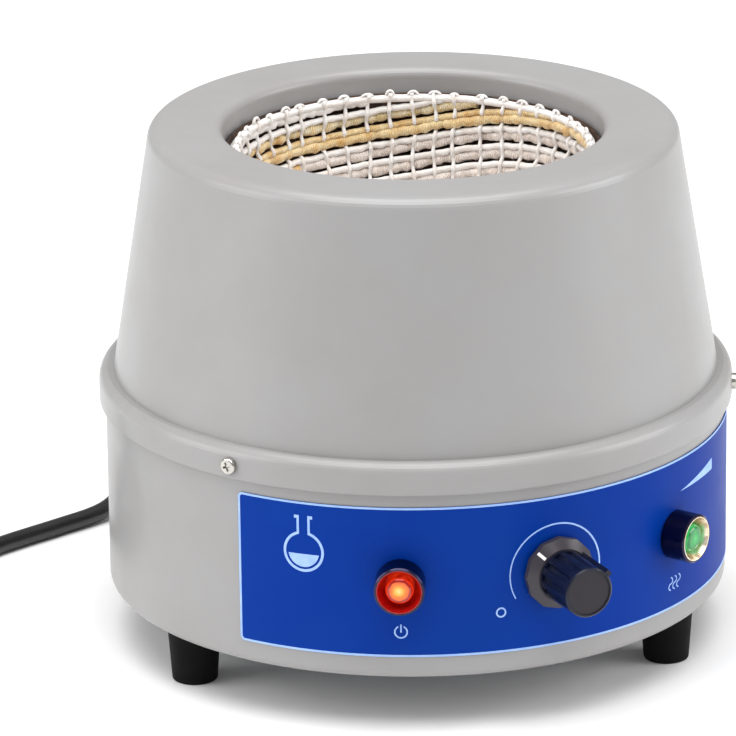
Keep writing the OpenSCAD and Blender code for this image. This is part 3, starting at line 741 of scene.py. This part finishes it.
@dataclass
class MainsLead:
    """Lead from the strain relief down to the table and away to its coil and plug.

    Attributes:
        radius: Radius of the lead.
        coil_middle: Middle of the coil, x and y.
        coil_radius: Radius of the middle one of the three turns on the table.
        floor_z: Height of the lead's axis where it lies on the table.
        layer: How much higher the two upper turns lie.
        start_angle: Direction of the coil's first point from its middle, in degrees.
        wound: Degrees that the lead winds round the coil.
        wind_step: Degrees between two points of the coil.
        exit: Where the lead leaves the case; not used.
        route: Points from inside the strain relief to the coil, in mm.
        tail: The y and z in mm of the points from the coil up to the plug.
        strap_slack: Gap between the turns and the strap.
        strap_thick: Thickness of the strap.
        strap_angles: Where the strap's edges lie round the coil, in degrees.
    """

    radius: float = 3.5 * MM
    coil_middle: tuple[float, float] = (-0.168, 0.164)
    coil_radius: float = 36 * MM
    floor_z: float = 3.7 * MM
    layer: float = 7 * MM
    start_angle: float = -92.0
    wound: float = 88.0 + 5 * 360
    wind_step: float = 9.0
    exit: tuple[float, float, float] = (0.0, 0.12, 0.036)
    route: tuple[tuple[float, float, float], ...] = (
        (0, 101, 36),
        (0, 132, 36),
        (0, 146.5, 36),
        (-3.6, 158.8, 34.8),
        (-11.3, 169, 31.2),
        (-22.8, 175.3, 25.6),
        (-36.5, 175.6, 17.8),
        (-49.8, 169, 10.2),
        (-60, 162, 6),
        (-71, 156.5, 4),
        (-90.5, 150.5, 3.6),
        (-119, 141.5, 3.6),
        (-135, 133.5, 3.6),
        (-146.5, 123, 3.6),
        (-157.5, 116.5, 3.6),
    )
    tail: tuple[tuple[float, float], ...] = (
        (166, 10.9),
        (174, 11.4),
        (184, 13.6),
        (194, 17),
        (204, 18.5),
        (214, 18.5),
    )
    strap_slack: float = 0.05 * MM
    strap_thick: float = 0.85 * MM
    strap_angles: tuple[float, float] = (100.0, 116.0)

    def turn_point(self, angle: float) -> Vector:
        """Point of the wound part.

        The lead is laid clockwise. It makes three turns on the table, each inside the last,
        climbs on to them, and makes two more in the grooves between them.

        Args:
            angle: Degrees wound since the lead reached the coil.

        Returns:
            The point.
        """
        step = 2 * self.radius
        radius, height = self.coil_radius + 2 * step, self.floor_z
        for k, change in enumerate((-step, -step, -step, step / 2, step)):
            start, width = (28 + 360 * k, 110) if k else (72, 84)
            radius += change * self.ease((angle - start) / width)
            if k == 3:
                climb = start - 60
                height += self.layer * self.ease((angle - climb) / width)
        turn = math.radians(self.start_angle - angle)
        x, y = self.coil_middle
        return Vector((x + radius * math.cos(turn), y + radius * math.sin(turn), height))

    @staticmethod
    def ease(share: float) -> float:
        """Go smoothly from 0 to 1 as the share does.

        Args:
            share: Share of the way, held between 0 and 1.

        Returns:
            The eased share.
        """
        share = min(max(share, 0.0), 1.0)
        return share * share * (3 - 2 * share)

    def line(self) -> list[Vector]:
        """Centre line of the whole lead, from inside the strain relief to the plug.

        Returns:
            Its points in order.
        """
        laid = [Vector(p) * MM for p in self.route]
        steps, joint, beyond = 4, 14, 28
        points = smooth_line([*laid, *(self.turn_point(a) for a in (0, joint, beyond))], steps)
        del points[-2 * steps :]
        turns = 1 + int((self.wound - joint) / self.wind_step)
        points += [self.turn_point(joint + i * self.wind_step) for i in range(turns)]
        end = self.turn_point(self.wound)
        tail = [Vector((end.x, y * MM, z * MM)) for y, z in self.tail]
        return points + smooth_line([end, *tail], 3)[1:]

    def build(self) -> None:
        """Lay the lead and strap its coil."""
        points = self.line()
        lead = sweep(
            "lead_mains", [Strand(points, [self.radius] * len(points), 16)], [LEAD_VINYL]
        )
        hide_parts("mains_cord", "cord_coil")
        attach(lead, "mantle")
        strap = self.strap()

    def strap(self) -> bpy.types.Object:
        """Make the hook and loop strap round the turns.

        Returns:
            The strap.
        """
        x, y = self.coil_middle
        low, high = self.floor_z, self.floor_z + self.layer
        corners = (
            (self.coil_radius + 2 * self.radius, low, -90, 25),
            (self.coil_radius + self.radius, high, 25, 90),
            (self.coil_radius - self.radius, high, 90, 155),
            (self.coil_radius - 2 * self.radius, low, 155, 270),
        )
        outline = []
        for r, z, a0, a1 in corners:
            for k in range(6):
                turn = math.radians(a0 + (a1 - a0) * k / 5)
                outline.append((r, z, math.cos(turn), math.sin(turn)))
        verts, faces = [], []
        first, last = self.strap_angles
        turns = [math.radians(first + (last - first) * k / 8) for k in range(9)]
        count = len(outline)
        inside = self.radius + self.strap_slack
        outside = inside + self.strap_thick
        for out in (inside, outside):
            lowest = 0.1 * MM + outside - out
            for turn in turns:
                for r, z, c, s in outline:
                    reach = r + out * c
                    up = max(z + out * s, lowest)
                    verts.append((x + reach * math.cos(turn), y + reach * math.sin(turn), up))
        inner = len(turns) * count
        for i in range(len(turns) - 1):
            for k in range(count):
                n = (k + 1) % count
                a, b, c, d = i * count + k, i * count + n, (i + 1) * count + n, (i + 1) * count + k
                faces.append((a, b, c, d))
                faces.append((inner + d, inner + c, inner + b, inner + a))
        for i in (0, len(turns) - 1):
            for k in range(count):
                n = (k + 1) % count
                ring = (i * count + k, i * count + n, inner + i * count + n, inner + i * count + k)
                faces.append(ring if i else ring[::-1])
        mesh = bpy.data.meshes.new("strap_coil")
        mesh.from_pydata(verts, [], faces)
        mesh.materials.append(STRAP.material())
        strap = bpy.data.objects.new("strap_coil", mesh)
        bpy.context.scene.collection.objects.link(strap)
        clear_selection()
        strap.select_set(True)
        bpy.context.view_layer.objects.active = strap
        bpy.ops.object.mode_set(mode="EDIT")
        bpy.ops.mesh.select_all(action="SELECT")
        bpy.ops.mesh.normals_make_consistent(inside=False)
        bpy.ops.object.mode_set(mode="OBJECT")
        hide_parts("coil_tie")
        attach(strap, "mantle")
        return strap


# ---------- knitted heating bowl ----------

# Knitted glass fibre rope: brilliant white, broken into fine glossy filaments.
WHITE_YARN = Finish(
    "white_glass_yarn", "fffdfb", "f8efe8", Surface.PLY, 0.5, 0.9, 0.2, 5, coat=0.3, sheen=0.4
)
ROSE_YARN = Finish(
    "dull_glass_rope", "fdf2ea", "dccabd", Surface.PLY, 0.6, 1.4, 0.35, 4, sheen=0.3
)
# The same rope where the size in it has browned from heat.
GOLD_YARN = Finish(
    "browned_glass_rope", "fbe2ae", "dba95a", Surface.PLY, 0.5, 1.4, 0.35, 5, sheen=0.3
)
OLIVE_YARN = Finish(
    "yellowed_glass_rope", "fbeccb", "d6b873", Surface.PLY, 0.55, 1.4, 0.35, 3.5, sheen=0.3
)
# Glass cloth behind the ropes, painted dark brown: painted shade for the dark gaps between them.
BACK_CLOTH = Finish(
    "glass_cloth_painted_shade", "4a3222", "1c120c", Surface.FIBROUS, 0.9, 0.9, 0.3, 7
)


@dataclass
class KnittedNest:
    """Bowl of glass fibre ropes, bound by thin courses and laced down the bowl.

    Attributes:
        radius: Inside radius of the bowl.
        middle_z: Height of its middle.
        rim: Height of the straight wall above the middle.
        pitch: Length down the wall from one course to the next.
        top_row: Length down the wall of the first course on the far side.
        rope_below: How far below its course a rope lies.
        course_radius: Radius of the thin courses.
        rope_radius: Radius of the ropes.
        rim_radius: Radius of the rope round the rim.
        hole: Radius round the bottom that the windings leave free.
        steps: Points of a winding in one turn.
        lacings: Number of yarns laced down the bowl.
        facing: Turn of the far side from +Y, in degrees.
        cloth_radius: Radius of the cloth behind the ropes.
        cloth_rise: Height of the cloth's straight wall.
        cloth_thick: Thickness of the cloth.
    """

    radius: float = 68.5 * MM
    middle_z: float = 0.186
    rim: float = 8 * MM
    pitch: float = 7 * MM
    top_row: float = -1.9 * MM
    rope_below: float = 2.8 * MM
    course_radius: float = 1.3 * MM
    rope_radius: float = 2.1 * MM
    rim_radius: float = 1.5 * MM
    hole: float = 6 * MM
    steps: int = 288
    lacings: int = 46
    facing: float = -25.5
    cloth_radius: float = 71.2 * MM
    cloth_rise: float = 7.6 * MM
    cloth_thick: float = 0.8 * MM

    def spot(self, down: float, around: float, inward: float) -> Vector:
        """Point on the bowl.

        Args:
            down: Length down the wall from the rim.
            around: Degrees from the far side as it is seen over the panel, rightwards.
            inward: Distance from the wall towards the middle.

        Returns:
            The point.
        """
        reach = self.radius - inward
        fall = max(down - self.rim, 0) / self.radius
        rise = max(self.rim - down, 0)
        flat = reach * math.cos(min(fall, math.pi / 2))
        turn = math.radians(90 - around + self.facing)
        return Vector(
            (
                flat * math.cos(turn),
                flat * math.sin(turn),
                self.middle_z + rise - reach * math.sin(min(fall, math.pi / 2)),
            )
        )

    def sag(self, around: float) -> float:
        """How much lower than level the courses lie at a place.

        They were wound as two spirals and pulled up on one side.

        Args:
            around: Degrees from the far side, rightwards, from -180 to 180.

        Returns:
            Length down the wall.
        """
        return (-3.8 - 7.0 * math.tanh((around - 14) / 30)) * MM

    def winding(self, first: float, below: float, inward: float, radius: float) -> list[Strand]:
        """One of the two spirals, from the rim to the bottom.

        Args:
            first: Length down the wall of its first course on the far side.
            below: Extra length down the wall.
            inward: Distance from the wall.
            radius: Radius of the rope.

        Returns:
            The spiral, as a list of one strand.
        """
        points, slots, radii = [], [], []
        turn = 0
        start = 2.2 * MM
        end = self.rim + self.radius * math.pi / 2 - self.hole
        while True:
            base = first + 2 * self.pitch * turn
            for k in range(self.steps):
                around = 180 - 360 * k / self.steps
                down = base + self.sag(around) + below
                if down < start:
                    continue
                if down > end:
                    return [Strand(points, radii, 8, slots)]
                tone = self.tone(base, around)
                proud = (1.0 if tone == 3 and below else 0.0) * MM
                wobble = noise.noise(Vector((around / 5, base * 300, inward * 900)))
                bulge = noise.noise(Vector((around / 2.3 + 40, base * 500, below * 900)))
                points.append(
                    self.spot(
                        down + (0.45 * wobble + 0.3 * bulge) * MM,
                        around,
                        inward + proud + 0.35 * bulge * MM,
                    )
                )
                swell = 0.28 if below else 0.14
                radii.append(radius * (1 + 0.05 * math.sin(k * 2.2) + swell * bulge))
                slots.append(tone)
            turn += 1

    def tone(self, base: float, around: float) -> int:
        """Number of the finish of a course.

        Heat has browned the third course, and its neighbours on the left.

        Args:
            base: Length down the wall at the far side.
            around: Degrees from the far side, rightwards.

        Returns:
            0 white, 1 dull, 2 yellowed, 3 browned, 4 browned rope under a white course.
        """
        row = round((base - self.top_row) / self.pitch)
        edge = around + 14 * noise.noise(Vector((around / 2.6, row, 5)))
        if row in (1, 3) and -150 < edge < -42:
            return 4
        return {0: 0, 1: 2, 2: 3}.get(row, 1)

    def lace_angle(self, number: int) -> float:
        """Angle of a lacing yarn, a little off its even place.

        Args:
            number: Number of the yarn.

        Returns:
            Degrees from the far side, rightwards.
        """
        shift = 0.4 * noise.noise(Vector((number * 1.7, 0, 0)))
        return -180 + 360 * (number + shift) / self.lacings

    def lacing(self) -> list[Strand]:
        """Yarns that run down the bowl, over the thin courses and behind the browned rope.

        Returns:
            One strand for each yarn.
        """
        made = []
        nearest = (8 * MM, 34 * MM, 18 * MM, 34 * MM)
        step = 0.8 * MM
        for j in range(self.lacings):
            around = self.lace_angle(j)
            least = nearest[j % len(nearest)]
            end = self.rim + self.radius * math.acos(least / self.radius)
            points, radii, down = [], [], -0.6 * MM
            while down < end:
                phase = (down - self.sag(around) - self.top_row) / self.pitch
                over = 0.5 + 0.5 * math.cos(math.tau * phase)
                behind = max(0.0, 1 - abs(phase - 2.4) / 0.42)
                drift = 0.5 * math.sin(down * 260 + j)
                lift = 0.7 + 1.1 * over - 3.2 * behind
                points.append(self.spot(down, around + drift, lift * MM))
                radii.append((0.68 + 0.22 * over) * MM)
                down += step
            made.append(Strand(points, radii, 6))
        return made

    def loops(self) -> list[Strand]:
        """Rope along the rim and the small loops that hold it to each lacing yarn.

        Returns:
            The rope's strand and the loops' strands.
        """
        rim = [
            self.spot((1.5 + 0.3 * noise.noise(Vector((a / 7, 0, 1)))) * MM, a, 0.2 * MM)
            for a in range(-180, 180, 2)
        ]
        strands = [Strand(rim, [self.rim_radius] * len(rim), 10, closed=True)]
        for j in range(self.lacings):
            odd, even = (noise.noise(Vector((j * 2.3, k, 9))) for k in (4, 8))
            rise, wide = 1.7 + 1.3 * odd, 2.3 + 1.4 * even
            points = []
            for k in range(9):  # from one foot of the loop (-1) over its top to the other (1)
                t = k / 4 - 1
                aside = math.degrees(t * wide * MM / self.radius)
                down = 0.6 - rise * (1 - abs(t) ** 3) + 0.3 * odd * t
                points.append(self.spot(down * MM, self.lace_angle(j) + aside, 0.5 * MM))
            strands.append(Strand(points, [0.62 * MM] * 9, 6))
        return strands

    def backing(self) -> bpy.types.Object:
        """Cloth behind the ropes, as a bowl with a thickness, painted dark brown as shade in the gaps.

        Returns:
            The cloth.
        """
        clear_selection()
        bpy.ops.mesh.primitive_uv_sphere_add(
            segments=96, ring_count=48, radius=self.cloth_radius, location=(0, 0, self.middle_z)
        )
        cloth = bpy.context.object
        bpy.ops.object.mode_set(mode="EDIT")
        bpy.ops.mesh.select_all(action="SELECT")
        bpy.ops.mesh.bisect(
            plane_co=(0, 0, self.middle_z), plane_no=(0, 0, 1), clear_outer=True, use_fill=False
        )
        bpy.ops.mesh.select_all(action="DESELECT")
        bpy.ops.object.mode_set(mode="OBJECT")
        level = 0.01 * MM
        for edge in cloth.data.edges:
            edge.select = all(abs(cloth.data.vertices[v].co.z) < level for v in edge.vertices)
        bpy.ops.object.mode_set(mode="EDIT")
        bpy.ops.mesh.extrude_region_move(TRANSFORM_OT_translate={"value": (0, 0, self.cloth_rise)})
        bpy.ops.object.mode_set(mode="OBJECT")
        thick = cloth.modifiers.new("thickness", "SOLIDIFY")
        thick.thickness, thick.offset = self.cloth_thick, 1.0
        bpy.ops.object.modifier_apply(modifier="thickness")
        bpy.ops.object.shade_smooth()
        return settle(cloth, "nest_backing", [BACK_CLOTH])

    def build(self) -> None:
        """Make the bowl's ropes, yarns and cloth."""
        tones = [WHITE_YARN, ROSE_YARN, OLIVE_YARN, GOLD_YARN, GOLD_YARN]
        bright = [WHITE_YARN, WHITE_YARN, WHITE_YARN, GOLD_YARN, WHITE_YARN]
        proud, sunk = 0.4 * MM, -0.9 * MM
        courses, strands = [], []
        for first in (self.top_row, self.top_row + self.pitch):
            courses += self.winding(first, 0.0, proud, self.course_radius)
            strands += self.winding(first, self.rope_below, sunk, self.rope_radius)
        net = sweep("nest_courses", courses, bright)
        ropes = sweep("nest_ropes", strands, tones)
        pieces = [
            net,
            ropes,
            sweep("nest_lacing", self.lacing(), [WHITE_YARN]),
            sweep("nest_rim_loops", self.loops(), [WHITE_YARN]),
            self.backing(),
        ]
        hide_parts("heating_nest")
        for piece in pieces:
            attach(piece, "mantle")
        LOG.info("knitted bowl: %d windings and %d lacings", len(courses + strands), self.lacings)


# ---------- dressing of the CAD pieces ----------

# Finish of each CAD piece that keeps its own shape.
DRESS = {
    GREY_COAT: ("base_housing", "top_housing"),
    BLUE_FILM: ("control_label",),
    PALE_INK: ("label_print",),
    FOOT_RUBBER: ("foot_left", "foot_right", "foot_rear"),
    # The knob's blue grip and grey skirt are painted reflections.
    KNOB_PAINTED_REFLECTIONS: ("control_knob",),
    CAP_PLASTIC: ("knob_cap",),
    WHITE_LINE: ("knob_pointer",),
    NICKEL: (
        "case_screws",
        "case_nuts",
        "foot_screws",
        "foot_nuts",
        "plate_screws",
        "bracket_screws",
        "bowl_screws",
        "knob_grub_screw",
        "pot_nut",
        "lamp_nuts",
    ),
    PIN_NICKEL: ("plug_pins", "fuse_clips", "pot_wiper", "pot_shaft"),
    STEEL_SHEET: ("bottom_plate", "bracket_front", "bracket_left", "bracket_right", "pot_body"),
    ALUMINIUM: ("inner_bowl", "heat_shield", "heatsink"),
    PLUG_VINYL: ("mains_plug", "strain_relief", "lead_bushing", "triac", "capacitor"),
    BLACK_CHROME: ("power_lamp_bezel", "heat_lamp_bezel"),
    RED_LACQUER: ("power_lamp_reflector",),
    WARM_SILVER: ("heat_lamp_reflector",),
    RED_LENS: ("power_lamp_lens",),
    GREEN_LENS: ("heat_lamp_lens",),
    NEON: ("power_lamp_bulb", "heat_lamp_bulb"),
    HEAT_WIRE: ("heating_element",),
    BOARD: ("control_board",),
    NYLON: ("board_standoffs", "terminal_block"),
    FERRITE: ("choke",),
    FUSE_GLASS: ("fuse",),
    MAINS_WIRE: ("mains_leads",),
    GLASS_SLEEVE: ("element_leads",),
    CONTROL_WIRE: ("control_leads",),
}


@dataclass
class WoolBlanket:
    """Needled mineral wool packed between the inner bowl and the heat shield.

    Attributes:
        middle_z: Height of the bowl's middle.
        inside: Inside radius.
        thick: Thickness.
        lumps: Height of the lumps on its outer face.
        fill: How tightly it is packed, from 0, slack, to 1, tight; not used.
    """

    middle_z: float = 0.186
    inside: float = 77.5 * MM
    thick: float = 10.2 * MM
    lumps: float = 0.9 * MM
    fill: float = 0.8

    def build(self) -> None:
        """Make the lumpy bowl of wool."""
        clear_selection()
        bpy.ops.mesh.primitive_uv_sphere_add(
            segments=96, ring_count=64, radius=self.inside, location=(0, 0, self.middle_z)
        )
        wool = bpy.context.object
        bpy.ops.object.mode_set(mode="EDIT")
        bpy.ops.mesh.select_all(action="SELECT")
        bpy.ops.mesh.bisect(
            plane_co=(0, 0, self.middle_z), plane_no=(0, 0, 1), clear_outer=True, use_fill=False
        )
        bpy.ops.object.mode_set(mode="OBJECT")
        thick = wool.modifiers.new("thickness", "SOLIDIFY")
        thick.thickness, thick.offset = self.thick, 1.0
        bpy.ops.object.modifier_apply(modifier="thickness")
        for vertex in wool.data.vertices:
            if vertex.co.length < self.inside + self.thick / 2:
                continue
            swell = noise.noise(vertex.co * 90) + 0.5 * noise.noise(vertex.co * 240)
            pressed = self.lumps * (0.6 - 0.5 * swell)
            vertex.co -= vertex.co.normalized() * max(pressed, 0)
        bpy.ops.object.shade_smooth()
        settle(wool, "wool_blanket", [WOOL])
        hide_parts("insulation_wool")
        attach(wool, "mantle")
        LOG.info("wool blanket: %d faces", len(wool.data.polygons))


class CarriedPieces:
    """CAD pieces that keep their shape and take a finish."""

    def build(self) -> None:
        """Dress every CAD piece by its name."""
        for finish, nodes in DRESS.items():
            for node in nodes:
                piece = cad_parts[node]
                piece.data.materials.clear()
                piece.data.materials.append(finish.material())
        LOG.info("dressed %d CAD pieces", sum(len(n) for n in DRESS.values()))


def main() -> None:
    """Build the whole scene in order."""
    logging.basicConfig(level=logging.INFO, format="%(message)s")
    Studio().build()
    MainsLead().build()
    CarriedPieces().build()
    KnittedNest().build()
    WoolBlanket().build()


if __name__ == "__main__":
    main()
